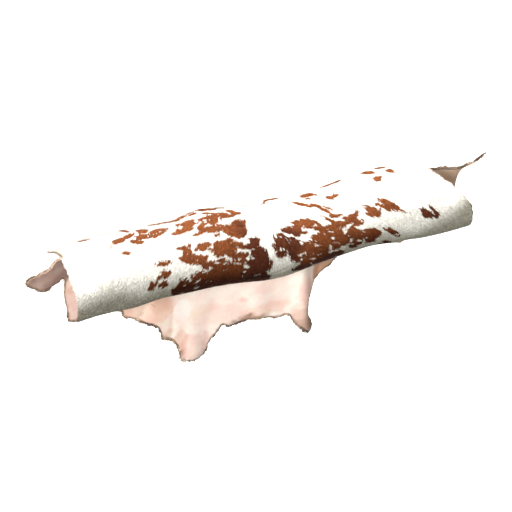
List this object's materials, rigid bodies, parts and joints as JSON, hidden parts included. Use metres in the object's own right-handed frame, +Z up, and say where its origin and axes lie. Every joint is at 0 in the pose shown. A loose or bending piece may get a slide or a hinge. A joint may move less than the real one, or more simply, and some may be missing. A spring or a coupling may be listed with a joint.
{
  "type": "draped cowhide",
  "caption": "Whole hair-on cowhide wrapped over an unseen round support, its neck end hanging flesh side out behind.",
  "frame": {"origin": "underside of the crown at the middle of the roll, where the support that holds it meets it", "axes": "+X along the crown, +Y from the front to the back where the neck hangs, +Z up"},
  "size_m": [2.3635, 0.4932, 0.8102],
  "materials": {
    "hair_on_leather": "matt short hair, white with red-brown spots, on pale raw leather"
  },
  "bodies": {
    "root": {"hide": "hair_on_leather"}
  },
  "joints": []
}
